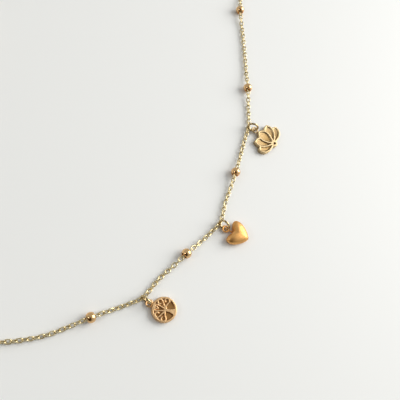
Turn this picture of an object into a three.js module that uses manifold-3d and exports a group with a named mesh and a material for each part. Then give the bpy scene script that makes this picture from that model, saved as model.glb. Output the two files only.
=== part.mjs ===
// Charm anklet: a fine cable chain with round beads and three charms, laid in a loop on a surface.
// Millimetres, +Z up. The surface is z = 0 and the origin is the middle of the loop's box on it.
import * as THREE from "three";
import { mergeVertices } from "three/addons/utils/BufferGeometryUtils.js";
import Module from "manifold-3d";

const wasm = await Module();
wasm.setup();

// Wire and links
const LINK_WIRE = 0.28;
const LINK_LENGTH = 1.5;
const JUMP_WIRE = 0.4;
const JUMP_OUTER = 2.8;
const RING_PLAY = 0.07;
const BAIL_WIRE = 0.36;
const BAIL_PLAY = 0.07;

// Beads and clasp
const BEAD_DIAMETER = 2.1;
const BEAD_SPACING = 23.2;
const BORE_PLAY = 0.1;
const CHAIN_END_GAP = 0.4;
const CLASP_DIAMETER = 2.6;
const CLASP_LENGTH = 8;
const CLASP_EDGE = 0.5;
const CLASP_BORE_DEPTH = 1.8;
const CLASP_CLEAR_CHAIN = 20;
const RISE_LENGTH = 3.5;

// Charms
const PLATE = 0.65;
const RELIEF = 0.35;
const LOTUS_REACH = 5;
const LOTUS_WALL = 0.42;
const LOTUS_HUB = 1.5;
const LOTUS_HOLE = 0.5;
const LOTUS_NECK = 0.55;
const HEART_WIDTH = 5.4;
const HEART_LENGTH = 4.4;
const HEART_SIDE = 0.9;
const HEART_DOME = 1.2;
const HEART_UNDERCUT = 0.25;
const HEART_NECK = 0.95;
const TREE_DIAMETER = 5;
const TREE_RIM = 0.4;
const TREE_TRUNK = 0.75;
const TREE_BRANCH = 0.29;
const TREE_TURN = 10;

// Centre line of the laid loop seen from above, from the clasp round to the clasp again
const ROUTE = [
  [-48.9, 34.4], [-48.9, 42], [-46.8, 47.2], [-41, 50.8], [-32, 53], [-20, 55.4], [-8, 58.3], [2, 61.2],
  [9.5, 62.6], [13.7, 60.1], [13.1, 52.4], [13.4, 46.5], [13.4, 35], [13.2, 29.3], [13.1, 24.4],
  [12.6, 18.7], [11.3, 14.9], [9.8, 10.5], [8.2, 6.3], [6.9, 2.7], [5.6, -0.5], [4.1, -5.1],
  [2.3, -7], [-0.2, -9.3], [-3.9, -12.3], [-6, -14.3], [-9.5, -17.4], [-12.9, -21.1],
  [-15.7, -22.3], [-19.1, -23.5], [-22.8, -24.8], [-27, -26.5], [-30.4, -27.7], [-34.9, -28.5],
  [-38.1, -28.7], [-41.3, -28.7], [-44.3, -27.2], [-46.6, -23.2], [-47.6, -15], [-47.9, -3],
  [-48.3, 10], [-48.7, 21], [-48.9, 29],
];

// Each charm's jump ring goes through a link this far past a bead, counted from the clasp.
// The ring heads outward from the chain and leans from upright, and the charm lies past it.
const CHARMS = [
  { name: "lotus", bead: 5, past: 10.7, ringHeading: -14, lean: 6, heading: -36 },
  { name: "heart", bead: 6, past: 13, ringHeading: -38, lean: 12, heading: -26 },
  { name: "tree", bead: 7, past: 12.7, ringHeading: -40, lean: -4, heading: -24 },
];

// Lotus petals from the back to the front: angle from the middle petal, length and width as
// shares of the longest petal. A petal's edge is a curve pulled toward two points, given as
// shares of its length and of half its width.
const PETALS = [
  { angle: 64, length: 0.92, width: 0.52 },
  { angle: 35, length: 1, width: 0.54 },
  { angle: 0, length: 0.95, width: 0.58 },
];
const PETAL_PULLS = [[0.3, 0.9], [0.8, 1.65]];

// Branches of the tree on one side: direction from the crown's axis, reach and curl as shares
// of the disc's inner radius, and the way that the curl turns
const BRANCHES = [
  { angle: 22, reach: 0.78, curl: 0.23, turn: -1 },
  { angle: 66, reach: 0.8, curl: 0.26, turn: -1 },
  { angle: 112, reach: 0.74, curl: 0.26, turn: -1 },
];
const BOW_BACK = 0.3;
const BOW_SIDE = 0.4;
const CURL_STEP = 30;
const CURL_SHRINK = 0.035;

// The trunk from its fork to its foot on the rim: places as shares of the disc's inner radius,
// and half widths as shares of the trunk's width
const TRUNK = [[0.05, 0.3], [0.5, 0.42], [0.78, 0.62], [1.02, 1.05]];

// The heart's edge: heights of its waves, the height of its lobes, where its middle lies, and
// the powers that give the fullness of its sides and of its dome
const HEART_WAVES = [13, -5, -1.2, -0.4];
const HEART_LOBES = 10.6;
const HEART_MIDDLE = 0.08;
const HEART_FULLNESS = 1.45;
const DOME_FULLNESS = 2.2;

const chainWidth = JUMP_WIRE + 2 * RING_PLAY + 2 * LINK_WIRE;
const chainRadius = chainWidth / 2;
const cordStep = 3 * chainWidth;
const beadRadius = BEAD_DIAMETER / 2;
const boreRadius = chainRadius + BORE_PLAY;
const jumpRadius = (JUMP_OUTER - JUMP_WIRE) / 2;
const reliefTop = PLATE + RELIEF;
const radians = THREE.MathUtils.degToRad;

const GOLD = { metalness: 1, roughness: 0.3 };
const chainGold = new THREE.MeshStandardMaterial({ color: 0xc8a66b, ...GOLD });
const beadGold = new THREE.MeshStandardMaterial({ color: 0xd2a765, ...GOLD });
const ringGold = new THREE.MeshStandardMaterial({ color: 0xcda468, ...GOLD });
const lotusGold = new THREE.MeshStandardMaterial({ color: 0xdebe82, ...GOLD });
const heartGold = new THREE.MeshStandardMaterial({ color: 0xe1aa69, ...GOLD });
const treeGold = new THREE.MeshStandardMaterial({ color: 0xd7aa82, ...GOLD });

// A closed geometry as a solid for joins and cuts
function solid(geometry) {
  const plain = geometry.index ? geometry : geometry.clone();
  plain.deleteAttribute("normal");
  plain.deleteAttribute("uv");
  const merged = mergeVertices(plain, 1e-5);
  return new wasm.Manifold(new wasm.Mesh({
    numProp: 3,
    vertProperties: new Float32Array(merged.attributes.position.array),
    triVerts: new Uint32Array(merged.index.array),
  }));
}

function geometryOf(body) {
  const mesh = body.getMesh();
  const geometry = new THREE.BufferGeometry();
  geometry.setAttribute("position", new THREE.BufferAttribute(mesh.vertProperties, 3));
  geometry.setIndex(new THREE.BufferAttribute(mesh.triVerts, 1));
  geometry.computeVertexNormals();
  return geometry;
}

function joined(solids) {
  return solids.reduce((sum, next) => sum.add(next));
}

function named(name, geometry, material) {
  const mesh = new THREE.Mesh(geometry, material);
  mesh.name = name;
  return mesh;
}

// A flat outline raised from the height low to the height high
function prism(shape, low, high) {
  const geometry = new THREE.ExtrudeGeometry(shape, {
    depth: high - low, bevelEnabled: false, curveSegments: 8,
  });
  geometry.translate(0, 0, low);
  return solid(geometry);
}

// The outline of a line of even width, with round ends, drawn along a row of points
function stroke(points, width) {
  const half = width / 2;
  const left = [];
  const right = [];
  points.forEach((point, i) => {
    const before = points[Math.max(i - 1, 0)];
    const after = points[Math.min(i + 1, points.length - 1)];
    const along = after.clone().sub(before).normalize();
    const side = new THREE.Vector2(-along.y, along.x).multiplyScalar(half);
    left.push(point.clone().add(side));
    right.unshift(point.clone().sub(side));
  });
  const cap = (centre, from) => [1, 2, 3].map((i) => {
    const start = from.clone().sub(centre);
    return start.rotateAround(new THREE.Vector2(), -i * Math.PI / 4).add(centre);
  });
  return new THREE.Shape([
    ...left, ...cap(points[points.length - 1], left[left.length - 1]),
    ...right, ...cap(points[0], right[right.length - 1]),
  ]);
}

// The laid centre line, and the height that it is lifted to by what the chain carries
const flatRoute = new THREE.CatmullRomCurve3(
  ROUTE.map(([x, y]) => new THREE.Vector3(x, y, 0)), true, "centripetal",
);
flatRoute.arcLengthDivisions = 100 * ROUTE.length;
const loopLength = flatRoute.getLength();
const beadCount = 1 + Math.floor((loopLength - CLASP_CLEAR_CHAIN) / BEAD_SPACING);
const firstBead = (loopLength - (beadCount - 1) * BEAD_SPACING) / 2;
const beadPlaces = Array.from({ length: beadCount }, (_, i) => firstBead + i * BEAD_SPACING);

function lift(along) {
  const pull = (place, halfLength, radius) => {
    const apart = Math.abs(along - place);
    const away = Math.min(apart, loopLength - apart) - halfLength;
    return (radius - chainRadius) * Math.max(0, 1 - Math.max(0, away) / RISE_LENGTH);
  };
  const pulls = beadPlaces.map((place) => pull(place, cordStep, beadRadius));
  return Math.max(pull(0, CLASP_LENGTH / 2 + cordStep, CLASP_DIAMETER / 2), ...pulls);
}

function pointOnChain(along) {
  const share = ((along / loopLength) % 1 + 1) % 1;
  const point = flatRoute.getPointAt(share);
  point.z = chainRadius + lift(share * loopLength);
  return point;
}

function directionOnChain(along) {
  const reach = chainRadius;
  return pointOnChain(along + reach).sub(pointOnChain(along - reach)).normalize();
}

// A stretch of the laid chain between two lengths along it
class ChainStretch extends THREE.Curve {
  constructor(from, to) {
    super();
    this.from = from;
    this.to = to;
  }

  getPoint(share, target = new THREE.Vector3()) {
    return target.copy(pointOnChain(this.from + (this.to - this.from) * share));
  }
}

// The chain as one smooth cord as wide as its links, in steps of three widths
function cord(from, to) {
  const section = new THREE.Shape(
    Array.from({ length: 8 }, (_, i) => new THREE.Vector2(chainRadius, 0)
      .rotateAround(new THREE.Vector2(), (i + 0.5) * Math.PI / 4)),
  );
  const steps = Math.max(2, Math.round((to - from) / cordStep));
  return new THREE.ExtrudeGeometry(section, {
    steps, bevelEnabled: false, extrudePath: new ChainStretch(from, to),
  });
}

// One real link, long along X and wide along Y: a ring of wire whose ends are drawn apart
function linkGeometry() {
  const bend = (chainWidth - LINK_WIRE) / 2;
  const geometry = new THREE.TorusGeometry(bend, LINK_WIRE / 2, 6, 16);
  const straight = LINK_LENGTH - chainWidth;
  const position = geometry.attributes.position;
  for (let i = 0; i < position.count; i += 1) {
    const x = position.getX(i);
    const side = Math.abs(x) < 1e-6 ? 0 : Math.sign(x);
    position.setX(i, x + side * straight / 2);
  }
  return geometry;
}

// Where a charm's jump ring lies. It stands on the surface, goes through the middle of a chain
// link at the point link, and through the charm's bail at the same height, at the point bail.
function ringPlace(charm) {
  const along = beadPlaces[charm.bead - 1] + charm.past;
  const link = pointOnChain(along);
  const heading = radians(charm.ringHeading);
  const lean = radians(charm.lean);
  const outward = new THREE.Vector3(Math.cos(heading), Math.sin(heading), 0);
  const across = new THREE.Vector3(-outward.y, outward.x, 0);
  const up = across.clone().multiplyScalar(Math.sin(lean));
  up.z = Math.cos(lean);
  const drop = 1 - (link.z - JUMP_WIRE / 2) / (jumpRadius * Math.cos(lean));
  const below = Math.asin(drop);
  const centre = link.clone()
    .addScaledVector(outward, jumpRadius * Math.cos(below))
    .addScaledVector(up, jumpRadius * drop);
  const bail = link.clone().addScaledVector(outward, 2 * jumpRadius * Math.cos(below));
  const wireWay = outward.clone().multiplyScalar(drop).addScaledVector(up, -Math.cos(below));
  const slope = Math.acos(Math.abs(wireWay.z));
  return { along, link, outward, up, centre, bail, wireWay, slope };
}

function jumpRing(name, place, material) {
  const mesh = named(name, new THREE.TorusGeometry(jumpRadius, JUMP_WIRE / 2, 8, 16), material);
  const normal = new THREE.Vector3().crossVectors(place.outward, place.up);
  const turn = new THREE.Matrix4().makeBasis(place.outward, place.up, normal);
  mesh.setRotationFromMatrix(turn);
  mesh.position.copy(place.centre);
  return mesh;
}

// A bail of round wire lying flat round the jump ring's wire, at its height
function bailRadius(place) {
  return (JUMP_WIRE / 2 + BAIL_WIRE / 2 + BAIL_PLAY) / Math.cos(place.slope);
}

function bail(place) {
  const geometry = new THREE.TorusGeometry(bailRadius(place), BAIL_WIRE / 2, 6, 16);
  geometry.translate(0, 0, place.bail.z);
  return solid(geometry);
}

// The short bar that joins a bail to its charm, from inside the one to inside the other
function neck(place, reach) {
  const length = reach + BAIL_WIRE;
  const geometry = new THREE.BoxGeometry(length, BAIL_WIRE, BAIL_WIRE);
  geometry.translate(bailRadius(place) + length / 2, 0, place.bail.z);
  return solid(geometry);
}

function laidCharm(charm, place, body, material) {
  const mesh = named(`${charm.name}_charm`, geometryOf(body), material);
  mesh.position.set(place.bail.x, place.bail.y, 0);
  mesh.rotation.z = radians(charm.heading);
  return mesh;
}

// A lotus petal: two mirrored curves from the root to a blunt tip
function petalShape(root, tip, halfWidth) {
  const [low, high] = PETAL_PULLS.map(([along, out]) => new THREE.Vector2(
    root + along * (tip - root), out * halfWidth,
  ));
  const shape = new THREE.Shape();
  shape.moveTo(root, 0);
  shape.bezierCurveTo(low.x, low.y, high.x, high.y, tip, 0);
  shape.bezierCurveTo(high.x, -high.y, low.x, -low.y, root, 0);
  return shape;
}

function lotusBody(place) {
  const hub = bailRadius(place) + LOTUS_NECK + LOTUS_REACH * PETALS[PETALS.length - 1].length - BAIL_WIRE;
  let plate = null;
  let walls = null;
  for (const petal of PETALS) {
    const sides = petal.angle === 0 ? [1] : [1, -1];
    for (const side of sides) {
      const length = LOTUS_REACH * petal.length;
      const halfWidth = LOTUS_REACH * petal.width / 2;
      const leaf = petalShape(0, length, halfWidth);
      const hollow = petalShape(2 * LOTUS_WALL, length - 2 * LOTUS_WALL, halfWidth - LOTUS_WALL);
      const turn = 180 + side * petal.angle;
      const low = prism(leaf, 0, PLATE).rotate([0, 0, turn]);
      const high = prism(leaf, PLATE / 2, reliefTop).rotate([0, 0, turn]);
      const recess = prism(hollow, PLATE / 2, reliefTop).rotate([0, 0, turn]);
      const wall = high.subtract(recess);
      plate = plate ? plate.add(low) : low;
      walls = walls ? walls.subtract(high).add(wall) : wall;
    }
  }
  const disc = new THREE.Shape();
  disc.absarc(0, 0, LOTUS_HUB / 2, 0, 2 * Math.PI);
  const hole = new THREE.Shape();
  hole.absarc(0, 0, LOTUS_HOLE / 2, 0, 2 * Math.PI);
  const flower = joined([plate, walls, prism(disc, 0, reliefTop)])
    .subtract(prism(hole, -PLATE, reliefTop + PLATE))
    .translate([hub, 0, 0]);
  return joined([flower, neck(place, LOTUS_NECK), bail(place)]);
}

// How far the heart's edge lies toward its cleft, as a share of its length: a sum of waves
function heartReach(angle) {
  const waves = HEART_WAVES.map((height, i) => height * Math.cos((i + 1) * angle));
  const point = HEART_WAVES.map((height, i) => height * (-1) ** (i + 1));
  const add = (sum, next) => sum + next;
  return waves.reduce(add) / (HEART_LOBES - point.reduce(add));
}

// A puffed heart: rings of the heart's outline, from a flat back up a round undercut side and
// over a full dome
function heartBody(place) {
  const side = [0, 30, 60, 90].map(radians).map((turn) => new THREE.Vector2(
    1 - HEART_UNDERCUT * (1 - Math.sin(turn)), HEART_SIDE * (1 - Math.cos(turn)),
  ));
  const dome = [0.35, 0.65, 0.85, 0.96, 1].map((rise) => new THREE.Vector2(
    (1 - rise ** DOME_FULLNESS) ** (1 / DOME_FULLNESS), HEART_SIDE + HEART_DOME * rise,
  ));
  const geometry = new THREE.LatheGeometry([new THREE.Vector2(), ...side, ...dome], 32);
  geometry.rotateX(Math.PI / 2);
  const position = geometry.attributes.position;
  for (let i = 0; i < position.count; i += 1) {
    const share = Math.hypot(position.getX(i), position.getY(i));
    const angle = Math.atan2(position.getY(i), position.getX(i));
    const away = share * (heartReach(angle) + HEART_MIDDLE);
    const cleft = bailRadius(place) + HEART_NECK;
    const out = Math.sign(Math.sin(angle)) * Math.abs(Math.sin(angle)) ** HEART_FULLNESS;
    position.setX(i, cleft + HEART_LENGTH * (heartReach(0) + HEART_MIDDLE - away));
    position.setY(i, -share * out * HEART_WIDTH / 2);
  }
  return joined([solid(geometry), neck(place, HEART_NECK), bail(place)]);
}

// One branch: a bowed limb from the fork, and the curl that it ends in
function branchLines(fork, inner, branch, side) {
  const heading = Math.PI + side * radians(branch.angle);
  const reach = branch.reach * inner;
  const end = new THREE.Vector2(reach, 0).rotateAround(new THREE.Vector2(), heading);
  const bow = new THREE.Vector2(fork.x - BOW_BACK * reach, BOW_SIDE * end.y);
  const limb = new THREE.QuadraticBezierCurve(fork, bow, end).getPoints(5);
  const turn = side * branch.turn;
  const way = end.clone().sub(bow).normalize();
  const spoke = new THREE.Vector2(way.y, -way.x).multiplyScalar(turn * branch.curl * inner);
  const centre = end.clone().sub(spoke);
  const curl = Array.from({ length: 10 }, (_, i) => spoke.clone()
    .multiplyScalar(1 - CURL_SHRINK * i)
    .rotateAround(new THREE.Vector2(), turn * i * radians(CURL_STEP)).add(centre));
  return [limb, curl];
}

function treeBody(place) {
  const radius = TREE_DIAMETER / 2;
  const inner = radius - TREE_RIM;
  const middle = bailRadius(place) + radius;
  const round = (size) => {
    const shape = new THREE.Shape();
    shape.absarc(0, 0, size, 0, 2 * Math.PI);
    return new THREE.Shape(shape.getPoints(36).slice(0, -1));
  };
  const disc = prism(round(radius), 0, PLATE);
  const rim = prism(round(radius), PLATE / 2, reliefTop)
    .subtract(prism(round(inner), 0, reliefTop + PLATE));
  const edge = TRUNK.map(([along, out]) => new THREE.Vector2(along * inner, out * TREE_TRUNK));
  const mirrored = edge.map((point) => new THREE.Vector2(point.x, -point.y)).reverse();
  const trunk = new THREE.Shape([...edge, ...mirrored]);
  const fork = new THREE.Vector2(edge[0].x + TREE_BRANCH, 0);
  const lines = [];
  for (const branch of BRANCHES) {
    for (const side of [1, -1]) {
      const [limb, curl] = branchLines(fork, inner, branch, side);
      lines.push(stroke(limb, TREE_BRANCH), stroke(curl, TREE_BRANCH));
    }
  }
  const raised = joined([trunk, ...lines].map((shape) => prism(shape, PLATE / 2, reliefTop)));
  return joined([disc, rim, raised.intersect(prism(round(radius), 0, reliefTop))])
    .rotate([0, 0, TREE_TURN])
    .translate([middle, 0, 0])
    .add(bail(place));
}

// A round bead drilled for the chain, with the drilling along Z before it is laid
function beadGeometry() {
  const mouth = Math.acos(boreRadius / beadRadius);
  const profile = Array.from({ length: 9 }, (_, i) => {
    const angle = -mouth + (2 * mouth * i) / 8;
    return new THREE.Vector2(beadRadius * Math.cos(angle), beadRadius * Math.sin(angle));
  });
  profile.push(profile[0].clone());
  return new THREE.LatheGeometry(profile, 14);
}

// A plain barrel clasp, drilled at both ends for the chain's ends
function claspGeometry() {
  const end = CLASP_LENGTH / 2;
  const radius = CLASP_DIAMETER / 2;
  const profile = [
    [0, CLASP_BORE_DEPTH - end], [boreRadius, CLASP_BORE_DEPTH - end], [boreRadius, -end],
    [radius - CLASP_EDGE, -end], [radius, CLASP_EDGE - end], [radius, end - CLASP_EDGE],
    [radius - CLASP_EDGE, end], [boreRadius, end], [boreRadius, end - CLASP_BORE_DEPTH],
    [0, end - CLASP_BORE_DEPTH],
  ].map(([x, y]) => new THREE.Vector2(x, y));
  return new THREE.LatheGeometry(profile, 16);
}

function threaded(name, geometry, along, material) {
  const mesh = named(name, geometry, material);
  mesh.position.copy(pointOnChain(along));
  mesh.quaternion.setFromUnitVectors(new THREE.Vector3(0, 1, 0), directionOnChain(along));
  return mesh;
}

const loop = new THREE.Group();
const places = CHARMS.map(ringPlace);

loop.add(threaded("clasp", claspGeometry(), 0, chainGold));
beadPlaces.forEach((along, i) => {
  loop.add(threaded(`bead_${i + 1}`, beadGeometry(), along, beadGold));
});

// Chain from the clasp to the first bead, from bead to bead, and back to the clasp
const claspEnd = CLASP_LENGTH / 2 - CLASP_BORE_DEPTH + CHAIN_END_GAP;
const stops = [0, ...beadPlaces, loopLength];
for (let i = 0; i + 1 < stops.length; i += 1) {
  const from = stops[i] + (i === 0 ? claspEnd : CHAIN_END_GAP / 2);
  const to = stops[i + 1] - (i + 2 === stops.length ? claspEnd : CHAIN_END_GAP / 2);
  const place = places.find((ring) => ring.along > from && ring.along < to);
  let geometry = null;
  if (place) {
    const opening = LINK_LENGTH / 2 - LINK_WIRE;
    const link = linkGeometry();
    const way = directionOnChain(place.along);
    const normal = place.wireWay.clone().addScaledVector(way, -place.wireWay.dot(way)).normalize();
    const wide = new THREE.Vector3().crossVectors(normal, way);
    link.applyMatrix4(new THREE.Matrix4().makeBasis(way, wide, normal).setPosition(place.link));
    geometry = geometryOf(joined([
      solid(cord(from, place.along - opening)), solid(link), solid(cord(place.along + opening, to)),
    ]));
  } else {
    geometry = cord(from, to);
  }
  loop.add(named(`chain_${i + 1}`, geometry, chainGold));
}

const bodies = { lotus: lotusBody, heart: heartBody, tree: treeBody };
const golds = { lotus: lotusGold, heart: heartGold, tree: treeGold };
CHARMS.forEach((charm, i) => {
  const place = places[i];
  loop.add(laidCharm(charm, place, bodies[charm.name](place), golds[charm.name]));
  loop.add(jumpRing(`${charm.name}_ring`, place, ringGold));
});

const anklet = new THREE.Group();
anklet.add(loop);
loop.updateMatrixWorld(true);
const box = new THREE.Box3().setFromObject(loop, true);
const middle = box.getCenter(new THREE.Vector3());
loop.position.set(-middle.x, -middle.y, -box.min.z);

export default anklet;
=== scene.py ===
import bpy
import numpy as np
from mathutils import Matrix, Vector


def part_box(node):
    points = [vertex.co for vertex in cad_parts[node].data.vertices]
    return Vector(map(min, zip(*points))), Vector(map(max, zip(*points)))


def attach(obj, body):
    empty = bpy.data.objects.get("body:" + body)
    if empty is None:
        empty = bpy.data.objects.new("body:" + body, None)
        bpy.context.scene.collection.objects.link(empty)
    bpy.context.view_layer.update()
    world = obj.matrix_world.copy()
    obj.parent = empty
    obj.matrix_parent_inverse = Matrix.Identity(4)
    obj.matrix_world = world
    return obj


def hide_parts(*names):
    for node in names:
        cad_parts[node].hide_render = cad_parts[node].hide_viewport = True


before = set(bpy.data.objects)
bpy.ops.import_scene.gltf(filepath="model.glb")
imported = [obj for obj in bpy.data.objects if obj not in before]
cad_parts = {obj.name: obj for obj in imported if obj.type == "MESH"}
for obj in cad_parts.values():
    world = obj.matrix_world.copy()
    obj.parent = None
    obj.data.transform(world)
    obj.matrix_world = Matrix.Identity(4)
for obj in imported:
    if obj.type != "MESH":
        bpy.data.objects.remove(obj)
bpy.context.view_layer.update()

# The anklet lies closed on a flat surface, and this is its chain's way round the loop: a smooth
# closed curve through a few chosen points, seen from above. Every bead, charm and link takes its
# place from a length along it.
MM = 0.001
ROUTE = MM * np.array([
    (-48.9, 34.4), (-48.9, 42), (-46.8, 47.2), (-41, 50.8), (-32, 53), (-20, 55.4), (-8, 58.3),
    (2, 61.2), (9.5, 62.6), (13.7, 60.1), (13.1, 52.4), (13.4, 46.5), (13.4, 35), (13.2, 29.3),
    (13.1, 24.4), (12.6, 18.7), (11.3, 14.9), (9.8, 10.5), (8.2, 6.3), (6.9, 2.7), (5.6, -0.5),
    (4.1, -5.1), (2.3, -7), (-0.2, -9.3), (-3.9, -12.3), (-6, -14.3), (-9.5, -17.4),
    (-12.9, -21.1), (-15.7, -22.3), (-19.1, -23.5), (-22.8, -24.8), (-27, -26.5),
    (-30.4, -27.7), (-34.9, -28.5), (-38.1, -28.7), (-41.3, -28.7), (-44.3, -27.2),
    (-46.6, -23.2), (-47.6, -15), (-47.9, -3), (-48.3, 10), (-48.7, 21), (-48.9, 29),
])
ROUTE_STEPS = 100
BEAD_SPACING = 23.2 * MM
BEAD_COUNT = 11
BEAD_RADIUS = 1.05 * MM
CLASP_LENGTH = 8 * MM
CLASP_RADIUS = 1.3 * MM


def gap_root(a, b):
    """The square root of the distance between each two points, as a column."""
    return np.sqrt(np.linalg.norm(b - a, axis=1))[:, None]


def smooth_loop(points, steps):
    """A closed curve through the points: between two of them, the cubic that leaves and
    arrives along slopes weighted by the square roots of the distances to the next points."""
    before, here = np.roll(points, 1, axis=0), points
    after, later = np.roll(points, -1, axis=0), np.roll(points, -2, axis=0)
    first, middle, last = gap_root(before, here), gap_root(here, after), gap_root(after, later)
    leave = ((here - before) / first - (after - before) / (first + middle)
             + (after - here) / middle) * middle
    arrive = ((after - here) / middle - (later - here) / (middle + last)
              + (later - after) / last) * middle
    t = np.linspace(0, 1, steps, endpoint=False)[None, :, None]
    here, after, leave, arrive = (a[:, None, :] for a in (here, after, leave, arrive))
    curve = (here + leave * t + (3 * (after - here) - 2 * leave - arrive) * t ** 2
             + (2 * (here - after) + leave + arrive) * t ** 3)
    return curve.reshape(-1, 2)


def box_middle(node):
    """The middle of a node's box."""
    low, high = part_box(node)
    return np.array((low + high) / 2)


loop_line = smooth_loop(ROUTE, ROUTE_STEPS)
loop_line = np.vstack([loop_line, loop_line[:1]])
loop_lengths = np.concatenate([
    [0], np.cumsum(np.linalg.norm(np.diff(loop_line, axis=0), axis=1)),
])
LOOP = loop_lengths[-1]
bead_places = (LOOP - (BEAD_COUNT - 1) * BEAD_SPACING) / 2 + BEAD_SPACING * np.arange(BEAD_COUNT)


def on_route(along):
    """The route's point at a length along it, by straight steps between its close points."""
    along = np.mod(along, LOOP)
    return np.stack([np.interp(along, loop_lengths, loop_line[:, i]) for i in (0, 1)], axis=-1)


bead_middles = np.array([box_middle(f"bead_{i + 1}") for i in range(BEAD_COUNT)])
route_shift = (bead_middles[:, :2] - on_route(bead_places)).mean(axis=0)

# The camera looks down on the loop's lower right from its lower left, as the photo does. The
# photo's middle is a point on the surface, and the picture's width is 400 pixels.
PHOTO_MIDDLE = Vector((*route_shift, 0))
CAMERA_DISTANCE = 108.2 * MM
FOCAL_PIXELS = 500
SENSOR_WIDTH = 36
PICTURE_WIDTH = 400
NEAREST_SEEN = 5 * MM
FARTHEST_SEEN = 5
CAMERA_WAY = Vector((-0.2749, -0.3395, 0.8996))
PICTURE_RIGHT = Vector((0.9602, -0.0491, 0.2749))
to_camera = CAMERA_WAY.normalized()
picture_up = to_camera.cross(PICTURE_RIGHT).normalized()
picture_right = picture_up.cross(to_camera)
camera = bpy.data.objects.new("camera", bpy.data.cameras.new("camera"))
camera.data.sensor_width = SENSOR_WIDTH
camera.data.lens = SENSOR_WIDTH * FOCAL_PIXELS / PICTURE_WIDTH
camera.data.clip_start = NEAREST_SEEN
camera.data.clip_end = FARTHEST_SEEN
camera.matrix_world = Matrix.Translation(PHOTO_MIDDLE + CAMERA_DISTANCE * to_camera) @ Matrix(
    (picture_right, picture_up, to_camera)).transposed().to_4x4()
bpy.context.scene.collection.objects.link(camera)
bpy.context.scene.camera = camera

# The surface under the anklet is a plain matt white table. It is one flat square, wide enough for
# every view.
TABLE_HALF = 1.2
TABLE_WHITE = (0.83, 0.835, 0.815, 1)
TABLE_ROUGHNESS = 0.6
table_mesh = bpy.data.meshes.new("table")
table_corners = [(x * TABLE_HALF, y * TABLE_HALF, 0)
                 for x, y in ((-1, -1), (1, -1), (1, 1), (-1, 1))]
table_mesh.from_pydata(table_corners, [], [(0, 1, 2, 3)])
table = bpy.data.objects.new("table", table_mesh)
bpy.context.scene.collection.objects.link(table)
white = bpy.data.materials.new("matt_white")
white.use_nodes = True
white_shader = white.node_tree.nodes["Principled BSDF"]
white_shader.inputs["Base Color"].default_value = TABLE_WHITE
white_shader.inputs["Roughness"].default_value = TABLE_ROUGHNESS
table_mesh.materials.append(white)

# Soft light comes from a large window at the right and a small lamp at the left. The gold mirrors
# a pale room that is bright behind the loop and dark round the camera. Colours are shown plainly.
LIGHTS = {
    "window": {"at": (0.52, 0.14, 0.34), "size": 0.5, "power": 4.6, "color": (1, 0.99, 0.97)},
    "lamp": {"at": (-0.36, -0.1, 0.3), "size": 0.1, "power": 0.3, "color": (1, 0.98, 0.95)},
}
ROOM_BRIGHT = (0.54, 0.555, 0.565, 1)
ROOM_DARK = (0.06, 0.038, 0.018, 1)
DARK_WAY = Vector((-0.515, -0.636, 0.574))
DARK_STARTS, DARK_FULL = 0.5, 0.85


def add_node(tree, kind, values=(), **settings):
    """A new node of a kind, with its settings, and the values of its inputs by socket."""
    node = tree.nodes.new(kind)
    for key, setting in settings.items():
        setattr(node, key, setting)
    for socket, value in dict(values).items():
        node.inputs[socket].default_value = value
    return node


for name, light in LIGHTS.items():
    source = bpy.data.lights.new(name, "AREA")
    source.energy = light["power"]
    source.size = light["size"]
    source.color = light["color"]
    light_object = bpy.data.objects.new(name, source)
    light_object.location = light["at"]
    light_object.rotation_euler = Vector(light["at"]).to_track_quat("Z", "Y").to_euler()
    bpy.context.scene.collection.objects.link(light_object)

room = bpy.data.worlds.new("room")
bpy.context.scene.world = room
room.use_nodes = True
looked_at = add_node(room.node_tree, "ShaderNodeTexCoord")
toward = add_node(room.node_tree, "ShaderNodeVectorMath", {1: DARK_WAY}, operation="DOT_PRODUCT")
shade = add_node(room.node_tree, "ShaderNodeMapRange",
                 {"From Min": DARK_STARTS, "From Max": DARK_FULL}, interpolation_type="SMOOTHSTEP")
room_mix = add_node(room.node_tree, "ShaderNodeMix", {"A": ROOM_BRIGHT, "B": ROOM_DARK},
                    data_type="RGBA")
for output, socket in (
    (looked_at.outputs["Generated"], toward.inputs[0]),
    (toward.outputs["Value"], shade.inputs["Value"]),
    (shade.outputs["Result"], room_mix.inputs["Factor"]),
    (room_mix.outputs["Result"], room.node_tree.nodes["Background"].inputs["Color"]),
):
    room.node_tree.links.new(output, socket)
bpy.context.scene.view_settings.view_transform = "Standard"

# The chain is a fine cable chain: links of round brass wire, bent, closed and gold plated, each
# turned a quarter round from the next. The links between two beads are one piece, and a jump
# ring goes through the link that lies at each charm's place.
LINK_WIRE = 0.28 * MM
LINK_LENGTH = 1.5 * MM
LINK_WIDTH = 1.1 * MM
LINK_PITCH = LINK_LENGTH - 2 * LINK_WIRE
CHAIN_HEIGHT = LINK_WIDTH / 2
HOLD_LENGTH = 1.2 * MM
FALL_LENGTH = 4.0 * MM
JUMP_WIRE = 0.4 * MM
JUMP_RADIUS = 1.2 * MM
CLASP_HOLE_DEPTH = 1.8 * MM
SPECKS_TO_A_GRAIN = 6
SCRATCH_TURN = (0.3, 0.5, 0.8)
SCRATCH_STRETCH = (12, 0.7, 3)
MOST_WORN = 0.4
SMOOTHEST, DULLEST = 0.75, 1.35
DENT_DEPTH = 0.01 * MM
LINK_AROUND, LINK_SIDES = 14, 6
START_TWIST = 20
END_TWIST = 40
LOOSE_TURN = 5
CHANCE_SEED = 7

# Each charm hangs a length past a bead. The headings and leans are in degrees, and so are the
# links' twists.
CHARMS = {
    "lotus": {"bead": 5, "past": 10.7 * MM, "ring_heading": -14, "lean": 6, "heading": -36},
    "heart": {"bead": 6, "past": 13 * MM, "ring_heading": -38, "lean": 12, "heading": -26},
    "tree": {"bead": 7, "past": 12.7 * MM, "ring_heading": -40, "lean": -4, "heading": -24},
}


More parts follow.
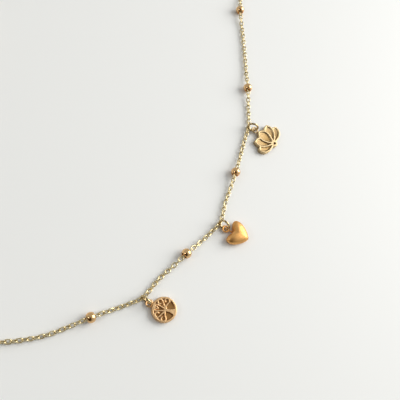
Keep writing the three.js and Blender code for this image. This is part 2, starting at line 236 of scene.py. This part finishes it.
def plating_group():
    """Worn gold plating as a node group. Large soft noise mixes the two golds, the shade mask adds
    painted shade in the hollows, fine noise varies the roughness, and stretched noise gives
    hairline scratches."""
    group = bpy.data.node_groups.new("worn_plating", "ShaderNodeTree")
    for label, kind, value in (
        ("Gold", "NodeSocketColor", (0.8, 0.6, 0.3, 1)),
        ("Deep Gold", "NodeSocketColor", (0.5, 0.3, 0.1, 1)),
        ("Painted Shade", "NodeSocketFloat", 0.0),
        ("Roughness", "NodeSocketFloat", 0.25),
        ("Grain Size", "NodeSocketFloat", 0.4 * MM),
    ):
        socket = group.interface.new_socket(label, in_out="INPUT", socket_type=kind)
        socket.default_value = value
    for label, kind in (("Color", "NodeSocketColor"), ("Roughness", "NodeSocketFloat"),
                        ("Height", "NodeSocketFloat")):
        group.interface.new_socket(label, in_out="OUTPUT", socket_type=kind)
    inward = add_node(group, "NodeGroupInput")
    outward = add_node(group, "NodeGroupOutput")
    place = add_node(group, "ShaderNodeTexCoord")
    scale = add_node(group, "ShaderNodeMath", {0: 1}, operation="DIVIDE")
    finer = add_node(group, "ShaderNodeMath", {1: SPECKS_TO_A_GRAIN}, operation="MULTIPLY")
    stretch = add_node(group, "ShaderNodeMapping",
                       {"Rotation": SCRATCH_TURN, "Scale": SCRATCH_STRETCH})
    mottle = add_node(group, "ShaderNodeTexNoise", {"Detail": 3})
    speck = add_node(group, "ShaderNodeTexNoise", {"Detail": 5})
    scratch = add_node(group, "ShaderNodeTexNoise", {"Detail": 2})
    worn = add_node(group, "ShaderNodeMapRange",
                    {"From Min": 0.35, "From Max": 0.75, "To Max": MOST_WORN})
    # Painted shade: the mask pulls the colour to the deep gold where shade falls in the hollows;
    # the noise gives the worn tone
    wear_and_shade = add_node(group, "ShaderNodeMath", operation="MAXIMUM")
    mix = add_node(group, "ShaderNodeMix", data_type="RGBA")
    dull = add_node(group, "ShaderNodeMapRange", {
        "From Min": 0.3, "From Max": 0.7, "To Min": SMOOTHEST, "To Max": DULLEST,
    })
    rough = add_node(group, "ShaderNodeMath", operation="MULTIPLY")
    relief = add_node(group, "ShaderNodeMath", operation="ADD")
    for output, socket in (
        (inward.outputs["Grain Size"], scale.inputs[1]),
        (scale.outputs[0], finer.inputs[0]),
        (place.outputs["Object"], mottle.inputs["Vector"]),
        (scale.outputs[0], mottle.inputs["Scale"]),
        (place.outputs["Object"], speck.inputs["Vector"]),
        (finer.outputs[0], speck.inputs["Scale"]),
        (place.outputs["Object"], stretch.inputs["Vector"]),
        (stretch.outputs["Vector"], scratch.inputs["Vector"]),
        (scale.outputs[0], scratch.inputs["Scale"]),
        (mottle.outputs["Fac"], worn.inputs["Value"]),
        (worn.outputs["Result"], wear_and_shade.inputs[0]),
        (inward.outputs["Painted Shade"], wear_and_shade.inputs[1]),
        (wear_and_shade.outputs[0], mix.inputs["Factor"]),
        (inward.outputs["Gold"], mix.inputs["A"]),
        (inward.outputs["Deep Gold"], mix.inputs["B"]),
        (mix.outputs["Result"], outward.inputs["Color"]),
        (speck.outputs["Fac"], dull.inputs["Value"]),
        (dull.outputs["Result"], rough.inputs[0]),
        (inward.outputs["Roughness"], rough.inputs[1]),
        (rough.outputs[0], outward.inputs["Roughness"]),
        (scratch.outputs["Fac"], relief.inputs[0]),
        (speck.outputs["Fac"], relief.inputs[1]),
        (relief.outputs[0], outward.inputs["Height"]),
    ):
        group.links.new(output, socket)
    return group


worn_plating = plating_group()


def gold(name, bright, deep, roughness, grain, bump, recess_shade=False):
    """Metal that takes its colour, roughness and height from the plating group, and the painted
    shade in its hollows, where it has any, from the mask on the mesh."""
    material = bpy.data.materials.new(name)
    material.use_nodes = True
    tree = material.node_tree
    shader = tree.nodes["Principled BSDF"]
    shader.inputs["Metallic"].default_value = 1
    plating = add_node(tree, "ShaderNodeGroup", {
        "Gold": (*bright, 1), "Deep Gold": (*deep, 1), "Roughness": roughness,
        "Grain Size": grain,
    }, node_tree=worn_plating)
    # Painted shade: the mask on the mesh darkens the hollows
    if recess_shade:
        mask = add_node(tree, "ShaderNodeAttribute", attribute_name="recess_shade")
        tree.links.new(mask.outputs["Fac"], plating.inputs["Painted Shade"])
    dents = add_node(tree, "ShaderNodeBump", {"Strength": bump, "Distance": DENT_DEPTH})
    tree.links.new(plating.outputs["Color"], shader.inputs["Base Color"])
    tree.links.new(plating.outputs["Roughness"], shader.inputs["Roughness"])
    tree.links.new(plating.outputs["Height"], dents.inputs["Height"])
    tree.links.new(dents.outputs["Normal"], shader.inputs["Normal"])
    return material


def metal_piece(name, points, faces, material, slot, *nodes):
    """A smooth piece from one array of points and a list of arrays of faces, in its place."""
    mesh = bpy.data.meshes.new(name)
    mesh.from_pydata(points.tolist(), [], [face for part in faces for face in part.tolist()])
    mesh.polygons.foreach_set("use_smooth", np.ones(len(mesh.polygons), bool))
    mesh.materials.append(material)
    piece = bpy.data.objects.new(name, mesh)
    bpy.context.scene.collection.objects.link(piece)
    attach(piece, "root")
    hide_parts(*nodes)
    return piece


def ring_faces(around, sides, first=0):
    """The quads of a closed tube of wire: each section's points join the next section's."""
    a, b = np.meshgrid(np.arange(around), np.arange(sides), indexing="ij")
    a_next, b_next = (a + 1) % around, (b + 1) % sides
    quads = np.stack([a * sides + b, a_next * sides + b, a_next * sides + b_next,
                      a * sides + b_next], axis=-1)
    return first + quads.reshape(-1, 4)


def wire_loop(bend, straight, wire, around, sides):
    """A closed loop of round wire in its own plane: a circle of radius bend whose two halves
    are drawn apart along X by the straight length, swept by a circle of the wire's radius."""
    a = np.linspace(0, 2 * np.pi, around, endpoint=False)[:, None] + np.pi / around
    b = np.linspace(0, 2 * np.pi, sides, endpoint=False)[None, :]
    reach = bend + wire / 2 * np.cos(b)
    x = reach * np.cos(a) + np.sign(np.cos(a)) * straight / 2
    y = reach * np.sin(a)
    z = wire / 2 * np.sin(b) + 0 * a
    return np.stack([x, y, z], axis=-1).reshape(-1, 3)


def unit(vectors):
    """Each vector divided by its length."""
    return vectors / np.linalg.norm(vectors, axis=-1, keepdims=True)


def on_chain(along):
    """The chain's middle line: the route's point, lifted smoothly to the height of the bead or
    clasp that it goes through, and lying on the surface elsewhere."""
    flat = on_route(along) + route_shift
    gap = np.abs(np.mod(along, LOOP)[..., None] - np.concatenate([bead_places, [0, LOOP]]))
    held = np.concatenate([np.zeros(BEAD_COUNT), np.full(2, CLASP_LENGTH / 2)])
    top = np.concatenate([np.full(BEAD_COUNT, BEAD_RADIUS), np.full(2, CLASP_RADIUS)])
    near = np.clip(1 - (gap - held - HOLD_LENGTH) / FALL_LENGTH, 0, 1)
    rise = ((top - CHAIN_HEIGHT) * near ** 2 * (3 - 2 * near)).max(axis=-1)
    return np.concatenate([flat, CHAIN_HEIGHT + rise[..., None]], axis=-1)


def chain_way(along):
    """The chain's direction: from half a link before to half a link after."""
    return unit(on_chain(along + LINK_PITCH / 2) - on_chain(along - LINK_PITCH / 2))


def ring_place(charm):
    """Where a jump ring stands: on the surface, through its link's middle and through the bail
    at the same height, leaning from upright about the line between them."""
    along = bead_places[charm["bead"] - 1] + charm["past"]
    link = on_chain(np.array([along]))[0]
    heading, lean = np.radians(charm["ring_heading"]), np.radians(charm["lean"])
    outward = np.array([np.cos(heading), np.sin(heading), 0])
    up = np.array([-np.sin(heading) * np.sin(lean), np.cos(heading) * np.sin(lean), np.cos(lean)])
    drop = 1 - (link[2] - JUMP_WIRE / 2) / (JUMP_RADIUS * np.cos(lean))
    across = np.sqrt(1 - drop ** 2)
    return {
        "along": along, "link": link, "outward": outward, "up": up,
        "middle": link + JUMP_RADIUS * (across * outward + drop * up),
        "bail": link + 2 * JUMP_RADIUS * across * outward,
        "wire_way": drop * outward - across * up,
    }


ring_places = {name: ring_place(charm) for name, charm in CHARMS.items()}

# The links' places: even steps between the clasp's ends and the links that the rings go through
chain_start = CLASP_LENGTH / 2 - CLASP_HOLE_DEPTH + LINK_LENGTH / 2
anchors = [chain_start, *(place["along"] for place in ring_places.values()), LOOP - chain_start]
counts = [int(np.ceil((b - a) / LINK_PITCH)) for a, b in zip(anchors, anchors[1:])]
link_places = np.concatenate([
    np.linspace(a, b, n, endpoint=False) for a, b, n in zip(anchors, anchors[1:], counts)
] + [[anchors[-1]]])

# A ring's link lies square to the ring's wire. The others turn by quarters, with a slow twist.
ways = chain_way(link_places)
level = unit(np.cross([0, 0, 1], ways))
over = np.cross(ways, level)
anchor_links = np.cumsum(counts)[:-1]
turns = [np.radians(START_TWIST)]
for index, place in zip(anchor_links, ring_places.values()):
    normal = place["wire_way"]
    turn = np.arctan2(-normal @ level[index], normal @ over[index]) - index * np.pi / 2
    turns.append(turn + np.pi * np.round((turns[-1] - turn) / np.pi))
turns.append(turns[-1] + np.radians(END_TWIST))
chance = np.random.default_rng(CHANCE_SEED)
twist = np.interp(np.arange(len(link_places)), [0, *anchor_links, len(link_places) - 1], turns)
loose = chance.normal(0, np.radians(LOOSE_TURN), len(link_places))
loose[anchor_links] = 0
turn = (twist + loose + np.arange(len(link_places)) * np.pi / 2)[:, None]
wide = np.cos(turn) * level + np.sin(turn) * over
flat_way = np.cross(ways, wide)
one_link = wire_loop((LINK_WIDTH - LINK_WIRE) / 2, LINK_LENGTH - LINK_WIDTH, LINK_WIRE,
                     LINK_AROUND, LINK_SIDES)
link_frames = np.stack([ways, wide, flat_way], axis=1)
all_links = on_chain(link_places)[:, None, :] + np.einsum("pi,nij->npj", one_link, link_frames)

chain_gold = gold("chain_gold", bright=(0.78, 0.66, 0.4), deep=(0.42, 0.31, 0.13),
                  roughness=0.22, grain=0.8 * MM, bump=0.3)
stops = np.concatenate([[0], bead_places, [LOOP]])
for i in range(len(stops) - 1):
    chosen = all_links[(link_places >= stops[i]) & (link_places < stops[i + 1])]
    faces = [ring_faces(LINK_AROUND, LINK_SIDES, n * LINK_AROUND * LINK_SIDES)
             for n in range(len(chosen))]
    metal_piece(f"links_{i + 1}", chosen.reshape(-1, 3), faces, chain_gold, "chain_gold",
                f"chain_{i + 1}")

# Each bead is a smooth ball of gold-plated brass, turned and drilled, with the drilling's edge
# rounded. It is threaded on the chain, which passes through it.
BEAD_BORE = 0.65 * MM
BEAD_EDGE = 0.09 * MM
BALL_STEPS = 25
LIP_STEPS = 5
TURNED_AROUND = 48


def turned(profile, around, middle, way):
    """A turned piece: the profile of distances from the axis and heights along it, carried
    round the axis in even steps, then laid with its axis along way."""
    a = np.linspace(0, 2 * np.pi, around, endpoint=False)[:, None]
    side = unit(np.cross(way, [0, 0, 1]))
    other = np.cross(way, side)
    out = profile[None, :, 0]
    ring = out[..., None] * (np.cos(a)[..., None] * side + np.sin(a)[..., None] * other)
    return (middle + ring + profile[None, :, 1, None] * way).reshape(-1, 3)


def bead_profile():
    """Half the ball's outline from one drilled mouth to the other, a small round at each mouth,
    and back through the drilling."""
    mouth = np.arccos((BEAD_BORE + BEAD_EDGE) / BEAD_RADIUS)
    ball = np.linspace(-mouth, mouth, BALL_STEPS)
    outside = BEAD_RADIUS * np.stack([np.cos(ball), np.sin(ball)], axis=1)
    end = outside[-1, 1]
    lip = np.linspace(np.pi / 2, np.pi, LIP_STEPS)[1:]
    round_top = np.stack([BEAD_BORE + BEAD_EDGE + BEAD_EDGE * np.cos(lip),
                          end - BEAD_EDGE + BEAD_EDGE * np.sin(lip)], axis=1)
    round_low = round_top[::-1] * [1, -1]
    return np.concatenate([outside, round_top, round_low])


bead_gold = gold("bead_gold", bright=(0.82, 0.53, 0.26), deep=(0.55, 0.3, 0.1),
                 roughness=0.16, grain=1.5 * MM, bump=0.15)
profile = bead_profile()
for i, along in enumerate(bead_places):
    points = turned(profile, TURNED_AROUND, bead_middles[i], chain_way(np.array([along]))[0])
    metal_piece(f"bead_ball_{i + 1}", points, [ring_faces(TURNED_AROUND, len(profile))],
                bead_gold, "bead_gold", f"bead_{i + 1}")

# The clasp joins the chain's ends. It is one plain turned barrel of gold-plated brass, drilled at
# both ends, where the last links lie inside it.
CLASP_EDGE = 0.5 * MM
CLASP_BORE = 0.65 * MM
AXIS_GAP = 0.02 * MM
BARREL_STEPS = 15
BEND_STEPS = 9


def clasp_profile():
    """The barrel's outline: a straight middle, quarter rounds at its ends, and a drilling."""
    end = CLASP_LENGTH / 2
    along = np.linspace(CLASP_EDGE - end, end - CLASP_EDGE, BARREL_STEPS)
    side = np.stack([CLASP_RADIUS + 0 * along, along], axis=1)
    bend = np.linspace(0, np.pi / 2, BEND_STEPS)
    round_top = np.stack([CLASP_RADIUS - CLASP_EDGE + CLASP_EDGE * np.cos(bend),
                          end - CLASP_EDGE + CLASP_EDGE * np.sin(bend)], axis=1)
    hole = np.array([[CLASP_BORE, end], [CLASP_BORE, end - CLASP_HOLE_DEPTH],
                     [AXIS_GAP, end - CLASP_HOLE_DEPTH]])
    top = np.concatenate([round_top[1:], hole])
    return np.concatenate([top[::-1] * [1, -1], side, top])


def closed_skin(around, sides, first=0):
    """The faces of a form whose profile starts and ends close to its axis: the quads between
    its sections without the last join, and one small flat face at each end."""
    quads = ring_faces(around, sides, first).reshape(around, sides, 4)[:, :-1].reshape(-1, 4)
    start = first + sides * np.arange(around)[None, ::-1]
    end = first + sides * np.arange(1, around + 1)[None] - 1
    return [quads, start, end]


profile = clasp_profile()
points = turned(profile, TURNED_AROUND, box_middle("clasp"), chain_way(np.zeros(1))[0])
metal_piece("clasp_barrel", points, closed_skin(TURNED_AROUND, len(profile)), chain_gold,
            "chain_gold", "clasp")

# Each jump ring is one turn of heavier round wire, cut and closed, standing on the surface
# through its chain link and the charm's bail.
RING_WIRE = 0.48 * MM
RING_AROUND, RING_SIDES = 64, 14
ring_gold = gold("ring_gold", bright=(0.6, 0.46, 0.25), deep=(0.34, 0.22, 0.08),
                 roughness=0.18, grain=1.0 * MM, bump=0.25)
for name, place in ring_places.items():
    ring = wire_loop(JUMP_RADIUS + (JUMP_WIRE - RING_WIRE) / 2, 0, RING_WIRE, RING_AROUND,
                     RING_SIDES)
    axes = np.stack([place["outward"], place["up"], np.cross(place["outward"], place["up"])])
    metal_piece(f"{name}_jump_ring", place["middle"] + ring @ axes,
                [ring_faces(RING_AROUND, RING_SIDES)], ring_gold, "ring_gold", f"{name}_ring")

# The lotus is a flat cast plate of gold-plated brass. It has raised edges round sunk petals, a
# drilled hub at its root, and a bail of round wire that a short neck joins to the middle petal.
PLATE = 0.65 * MM
RELIEF = 0.35 * MM
BAIL_WIRE = 0.36 * MM
BAIL_PLAY = 0.07 * MM
BAIL_AROUND, BAIL_SIDES = 48, 12
GRID_STEP = 0.045 * MM
GRID_MARGIN = 1.02
EDGE_ROUND = 0.12 * MM
BORDER_PASSES = 3
LEAST_SLOPE_SQUARE = 0.2


def cast_plate(edge, height, low, high, step):
    """A cast plate: a square grid of points, kept where edge(x, y) is negative, with the border
    points moved on to the line where edge is nought, lifted to height(x, y) above, flat at
    nought below, and joined by upright walls."""
    x = np.arange(low[0] - step, high[0] + 2 * step, step)
    y = np.arange(low[1] - step, high[1] + 2 * step, step)
    gx, gy = np.meshgrid(x, y, indexing="ij")
    kept = edge(gx[:-1, :-1] + step / 2, gy[:-1, :-1] + step / 2) < 0
    kept[[0, -1], :] = False
    kept[:, [0, -1]] = False
    around = np.zeros(gx.shape, int)
    for i in (0, 1):
        for j in (0, 1):
            around[i:gx.shape[0] - 1 + i, j:gx.shape[1] - 1 + j] += kept
    used = around > 0
    border = used & (around < 4)
    bx, by = gx[border], gy[border]
    for _ in range(BORDER_PASSES):
        off = edge(bx, by)
        slope_x = (edge(bx + step / 4, by) - edge(bx - step / 4, by)) / (step / 2)
        slope_y = (edge(bx, by + step / 4) - edge(bx, by - step / 4)) / (step / 2)
        square = np.maximum(slope_x ** 2 + slope_y ** 2, LEAST_SLOPE_SQUARE)
        bx = bx - np.clip(off * slope_x / square, -step / 2, step / 2)
        by = by - np.clip(off * slope_y / square, -step / 2, step / 2)
    gx[border], gy[border] = bx, by
    number = np.full(gx.shape, -1)
    number[used] = np.arange(used.sum())
    top = np.stack([gx[used], gy[used], height(gx[used], gy[used])], axis=1)
    bottom = np.stack([gx[used], gy[used], np.zeros(used.sum())], axis=1)
    c00, c10 = number[:-1, :-1], number[1:, :-1]
    c01, c11 = number[:-1, 1:], number[1:, 1:]
    cells = np.stack([c00, c10, c11, c01], axis=-1)[kept]
    below = len(top)
    walls = []
    for axis, way, start, end in ((0, 1, c10, c11), (0, -1, c01, c00),
                                  (1, 1, c11, c01), (1, -1, c00, c10)):
        open_side = kept & ~np.roll(kept, -way, axis=axis)
        a, b = start[open_side], end[open_side]
        walls.append(np.stack([b, a, a + below, b + below], axis=-1))
    return np.concatenate([top, bottom]), [cells, cells[:, ::-1] + below, *walls]


def laid(points, place, heading):
    """Turns points from a charm's own frame, whose origin is under its bail, to its place."""
    c, s = np.cos(np.radians(heading)), np.sin(np.radians(heading))
    turn = np.array([[c, s, 0], [-s, c, 0], [0, 0, 1]])
    return points @ turn + np.array([*place["bail"][:2], 0])


def bail_reach(place):
    """The bail's radius: room for the jump ring's wire, which passes through it aslant."""
    slope = np.arccos(abs(place["wire_way"][2]))
    return (JUMP_WIRE / 2 + BAIL_WIRE / 2 + BAIL_PLAY) / np.cos(slope)


def with_bail(points, faces, place, neck):
    """Adds the bail, a ring of wire at the height of the jump ring's wire, to a charm, and the
    neck, a short round bar from inside the bail's wire to inside the charm."""
    height = np.array([0, 0, place["bail"][2]])
    bail = height + wire_loop(bail_reach(place), 0, BAIL_WIRE, BAIL_AROUND, BAIL_SIDES)
    start = bail_reach(place)
    end = start + neck + BAIL_WIRE
    profile = np.array([[AXIS_GAP, start], [BAIL_WIRE / 2, start], [BAIL_WIRE / 2, end],
                        [AXIS_GAP, end]])
    bar = turned(profile, BAIL_SIDES, height, np.array([1, 0, 0]))
    faces = [*faces, ring_faces(BAIL_AROUND, BAIL_SIDES, len(points)),
             *closed_skin(BAIL_SIDES, len(profile), len(points) + len(bail))]
    return np.concatenate([points, bail, bar]), faces


def rounded(depth, reach):
    """How far a rounded edge falls at a depth inside it: a quarter circle of radius reach."""
    near = np.clip(1 - depth / reach, 0, 1)
    return reach * (1 - np.sqrt(1 - near ** 2))


def step_up(value, width):
    """A smooth step from nought to one as value goes from nought to width."""
    t = np.clip(value / width, 0, 1)
    return t ** 2 * (3 - 2 * t)


def paint_recess_shade(piece, values):
    """Keeps how deep each point lies in a hollow on the mesh, as the mask of the painted shade
    there: darker gold for the shade in the hollows.
    """
    mask = piece.data.attributes.new("recess_shade", "FLOAT", "POINT")
    full = np.zeros(len(piece.data.vertices), np.float32)
    full[:len(values)] = values
    mask.data.foreach_set("value", full)


LOTUS_REACH = 5 * MM
LOTUS_WALL = 0.42 * MM
LOTUS_HUB = 0.75 * MM
LOTUS_HOLE = 0.25 * MM
LOTUS_NECK = 0.55 * MM
WALL_TOP, WALL_FALL = 0.75, 0.8
PETAL_LINE = 0.04 * MM
HUB_EDGE = 0.2 * MM
SCOOP_DEPTH, SCOOP_STARTS, SCOOP_LENGTH = 0.45, 0.3, 0.6
# How strong the painted shade in the sunk petals is, and how it follows their depth
LOTUS_SHADE, LOTUS_SHADE_CURVE = 0.95, 0.8
PETAL_STEPS = 60
PETAL_ROOT = {"along": 0.3, "out": 0.9}
PETAL_SHOULDER = {"along": 0.8, "out": 1.65}
STEEPEST = 3
PETALS = (
    {"angle": 64, "length": 0.92, "width": 0.52},
    {"angle": 35, "length": 1, "width": 0.54},
    {"angle": 0, "length": 0.95, "width": 0.58},
)
place = ring_places["lotus"]
lotus_hub = bail_reach(place) + LOTUS_NECK + LOTUS_REACH * PETALS[-1]["length"] - BAIL_WIRE


def petal_edge(x, y, petal, side):
    """Distance outside a petal's edge: how far a point is from the petal's axis, less the half
    width there. The edge is a cubic curve from the root to the tip, drawn out by two handles."""
    turn = np.radians(180 + side * petal["angle"])
    along = (x - lotus_hub) * np.cos(turn) + y * np.sin(turn)
    off = np.abs(y * np.cos(turn) - (x - lotus_hub) * np.sin(turn))
    reach, half = LOTUS_REACH * petal["length"], LOTUS_REACH * petal["width"] / 2
    t = np.linspace(0, 1, PETAL_STEPS)
    root, shoulder = 3 * t * (1 - t) ** 2, 3 * t ** 2 * (1 - t)
    curve_x = reach * (PETAL_ROOT["along"] * root + PETAL_SHOULDER["along"] * shoulder + t ** 3)
    curve_y = half * (PETAL_ROOT["out"] * root + PETAL_SHOULDER["out"] * shoulder)
    width = np.interp(along, curve_x, curve_y)
    slope = np.interp(along, curve_x, np.gradient(curve_y, curve_x))
    beyond = np.maximum(-along, along - reach)
    square_on = np.sqrt(1 + np.clip(slope, -STEEPEST, STEEPEST) ** 2)
    return np.maximum((off - width) / square_on, beyond)


def each_petal(x, y):
    """The edge distance of every petal, from the back ones to the front one."""
    return [petal_edge(x, y, petal, side) for petal in PETALS
            for side in ((1,) if petal["angle"] == 0 else (1, -1))]


def lotus_edge(x, y):
    """Distance outside the flower: the nearest petal or the hub, less the hub's drilling."""
    hub = np.hypot(x - lotus_hub, y)
    return np.maximum(np.minimum(np.minimum.reduce(each_petal(x, y)), hub - LOTUS_HUB),
                      LOTUS_HOLE - hub)


def lotus_sunk(x, y):
    """How far sunk a point is: nought on the petals' edges and the hub, and up to one in the
    petals, whose floors rise toward their tips."""
    hub = np.hypot(x - lotus_hub, y)
    sunk = np.zeros(np.shape(x))
    for off in each_petal(x, y):
        inside = step_up(-off, PETAL_LINE)
        floor = step_up(-off - WALL_TOP * LOTUS_WALL, WALL_FALL * LOTUS_WALL)
        sunk = sunk * (1 - inside) + floor * inside
    outer = step_up(hub - SCOOP_STARTS * LOTUS_REACH, SCOOP_LENGTH * LOTUS_REACH)
    return sunk * (1 - SCOOP_DEPTH * outer) * step_up(hub - LOTUS_HUB, HUB_EDGE)


def lotus_height(x, y):
    """The plate's top: raised edges, sunk petals, and a round along the outline."""
    top = PLATE + RELIEF * (1 - lotus_sunk(x, y))
    return top - rounded(-lotus_edge(x, y), EDGE_ROUND)


lotus_gold = gold("lotus_gold", bright=(0.67, 0.52, 0.3), deep=(0.28, 0.17, 0.06),
                  roughness=0.44, grain=0.7 * MM, bump=0.5, recess_shade=True)
reach = LOTUS_REACH * GRID_MARGIN
points, faces = cast_plate(lotus_edge, lotus_height, (lotus_hub - reach, -reach),
                           (lotus_hub + reach / 2, reach), GRID_STEP)
sunk = lotus_sunk(points[:, 0], points[:, 1]) * (points[:, 2] > PLATE / 2)
points, faces = with_bail(points, faces, place, LOTUS_NECK)
lotus = metal_piece("lotus_flower", laid(points, place, CHARMS["lotus"]["heading"]), faces,
                    lotus_gold, "lotus_gold", "lotus_charm")
# The sunk petal floors get painted shade: darker gold where shade falls in them
paint_recess_shade(lotus, LOTUS_SHADE * sunk ** LOTUS_SHADE_CURVE)

# The heart is cast solid in brass, puffed on top, flat behind and softly polished. A neck joins it
# to its own bail, which hangs on the jump ring.
HEART_WIDTH = 5.4 * MM
HEART_LENGTH = 4.4 * MM
HEART_SIDE = 0.9 * MM
HEART_DOME = 1.2 * MM
HEART_UNDERCUT = 0.25
HEART_FULLNESS = 1.45
DOME_FULLNESS = 2.2
HEART_NECK = 0.95 * MM
HEART_AROUND = 120
SIDE_STEPS = 9
DOME_STEPS = 28
POLE_SHARE = 0.004
HEART_WAVES = ((1, 13), (2, -5), (3, -1.2), (4, -0.4))
HEART_SPAN = 27.8
HEART_SHIFT = 0.08


def heart_reach(angle):
    """How far the heart's edge lies toward its cleft, as a share of its length: the sum of four
    cosine waves, each with its count round the heart and its size."""
    return sum(size * np.cos(count * angle) for count, size in HEART_WAVES) / HEART_SPAN


def heart_surface(place):
    """Rings of the heart's outline, drawn in toward its middle as they go: up a round undercut
    side, and over a full dome that flattens toward the top."""
    angle = np.linspace(0, 2 * np.pi, HEART_AROUND, endpoint=False)[:, None]
    turn = np.linspace(0, np.pi / 2, SIDE_STEPS)
    side = np.stack([1 - HEART_UNDERCUT * (1 - np.sin(turn)), HEART_SIDE * (1 - np.cos(turn))], 1)
    rise = np.sin(np.linspace(0, np.pi / 2, DOME_STEPS))[1:]
    dome = np.stack([np.maximum(1 - rise ** DOME_FULLNESS, 0) ** (1 / DOME_FULLNESS),
                     HEART_SIDE + HEART_DOME * rise], axis=1)
    dome[-1, 0] = POLE_SHARE
    profile = np.concatenate([[[POLE_SHARE, 0]], side, dome])
    share, height = profile[None, :, 0], profile[None, :, 1]
    away = share * (heart_reach(angle) + HEART_SHIFT)
    x = bail_reach(place) + HEART_NECK + HEART_LENGTH * (heart_reach(0) + HEART_SHIFT - away)
    out = np.sign(np.sin(angle)) * np.abs(np.sin(angle)) ** HEART_FULLNESS
    y = -share * out * HEART_WIDTH / 2
    return np.stack([x, y, height + 0 * x], axis=-1).reshape(-1, 3), profile.shape[0]


heart_gold = gold("heart_gold", bright=(0.84, 0.46, 0.16), deep=(0.4, 0.18, 0.045),
                  roughness=0.43, grain=1.6 * MM, bump=0.3)
place = ring_places["heart"]
points, rings = heart_surface(place)
points, faces = with_bail(points, closed_skin(HEART_AROUND, rings), place, HEART_NECK)
metal_piece("heart_puff", laid(points, place, CHARMS["heart"]["heading"]), faces,
            heart_gold, "heart_gold", "heart_charm")

# The tree of life is a round cast disc of gold-plated brass. It has a raised rim, a raised trunk
# that widens to its foot on the rim, and limbs that end in curls, over a sunk ground that is
# painted darker, as painted shade where shade falls between the raised lines.
TREE_RADIUS = 2.5 * MM
TREE_RIM = 0.4 * MM
TREE_TRUNK = 0.75 * MM
TREE_BRANCH = 0.29 * MM
TREE_TURN = 10
BRANCHES = (
    {"angle": 22, "reach": 0.78, "curl": 0.23},
    {"angle": 66, "reach": 0.8, "curl": 0.26},
    {"angle": 112, "reach": 0.74, "curl": 0.26},
)
TRUNK_PLACES = (0.05, 0.5, 0.78, 1.02)
TRUNK_HALVES = (0.3, 0.42, 0.62, 1.05)
LIMB_STEPS = 12
BOW_BACK, BOW_SIDE = 0.3, 0.4
CURL_STEPS = 27
CURL_TURN = 10
CURL_SHRINK = 0.035 / 3
LINE_EDGE = 0.03 * MM
LINE_FALL = 0.1 * MM
# How strong the painted shade on the sunk ground is
TREE_SHADE = 0.9
place = ring_places["tree"]
tree_middle = bail_reach(place) + TREE_RADIUS
tree_inner = TREE_RADIUS - TREE_RIM


def turn_flat(points, angle):
    """Flat points turned about the origin by an angle in radians."""
    c, s = np.cos(angle), np.sin(angle)
    return points @ np.array([[c, s], [-s, c]])


def branch_line(branch, side):
    """A limb from the fork, by a quadratic curve drawn to one bowed point, and the curl that it
    ends in: the tip of a spoke that turns in even steps and shortens evenly."""
    fork = np.array([TRUNK_PLACES[0] * tree_inner + TREE_BRANCH, 0])
    reach = branch["reach"] * tree_inner
    end = turn_flat(np.array([reach, 0]), np.pi + side * np.radians(branch["angle"]))
    bow = np.array([fork[0] - BOW_BACK * reach, BOW_SIDE * end[1]])
    t = np.linspace(0, 1, LIMB_STEPS)[:, None]
    limb = fork * (1 - t) ** 2 + 2 * bow * t * (1 - t) + end * t ** 2
    way = unit(end - bow)
    spoke = -side * branch["curl"] * tree_inner * np.array([way[1], -way[0]])
    steps = np.arange(1, CURL_STEPS + 1)
    swept = np.array([turn_flat(spoke, -side * np.radians(CURL_TURN * step)) for step in steps])
    return np.concatenate([limb, end - spoke + swept * (1 - CURL_SHRINK * steps)[:, None]])


def line_distance(x, y, line):
    """Distance from points to a line of short straight pieces: the least distance to any piece,
    taken at the piece's point nearest to each."""
    spot = np.stack([x, y], axis=-1)[..., None, :]
    start, end = line[:-1], line[1:]
    run = end - start
    share = np.clip(((spot - start) * run).sum(-1) / (run ** 2).sum(-1), 0, 1)
    return np.linalg.norm(spot - start - share[..., None] * run, axis=-1).min(axis=-1)


tree_lines = [branch_line(branch, side) for branch in BRANCHES for side in (1, -1)]


def tree_sunk(x, y):
    """How far sunk a point of the disc is: nought on the rim, trunk and lines, one between."""
    spot = turn_flat(np.stack([x - tree_middle, y], axis=-1), -np.radians(TREE_TURN))
    x, y = spot[..., 0], spot[..., 1]
    off = np.minimum.reduce([line_distance(x, y, line) for line in tree_lines]) - TREE_BRANCH / 2
    half = TREE_TRUNK * np.interp(x / tree_inner, TRUNK_PLACES, TRUNK_HALVES)
    trunk = np.maximum(np.abs(y) - half, TRUNK_PLACES[0] * tree_inner - x)
    rim = tree_inner - np.hypot(x, y)
    return step_up(np.minimum.reduce([off, trunk, rim]) + LINE_EDGE, LINE_FALL)


def tree_edge(x, y):
    """Distance outside the disc's circle."""
    return np.hypot(x - tree_middle, y) - TREE_RADIUS


def tree_height(x, y):
    """The disc's top: raised lines with soft sides over the sunk ground, and a rounded rim."""
    return PLATE + RELIEF * (1 - tree_sunk(x, y)) - rounded(-tree_edge(x, y), EDGE_ROUND)


tree_gold = gold("tree_gold", bright=(0.85, 0.56, 0.29), deep=(0.3, 0.14, 0.035),
                 roughness=0.34, grain=0.7 * MM, bump=0.4, recess_shade=True)
points, faces = cast_plate(tree_edge, tree_height, (tree_middle - TREE_RADIUS, -TREE_RADIUS),
                           (tree_middle + TREE_RADIUS, TREE_RADIUS), GRID_STEP)
sunk = tree_sunk(points[:, 0], points[:, 1]) * (points[:, 2] > PLATE / 2)
points, faces = with_bail(points, faces, place, BAIL_WIRE)
tree = metal_piece("tree_disc", laid(points, place, CHARMS["tree"]["heading"]), faces,
                   tree_gold, "tree_gold", "tree_charm")
# Painted shade: the mask darkens the sunk ground between the raised lines
paint_recess_shade(tree, TREE_SHADE * sunk)
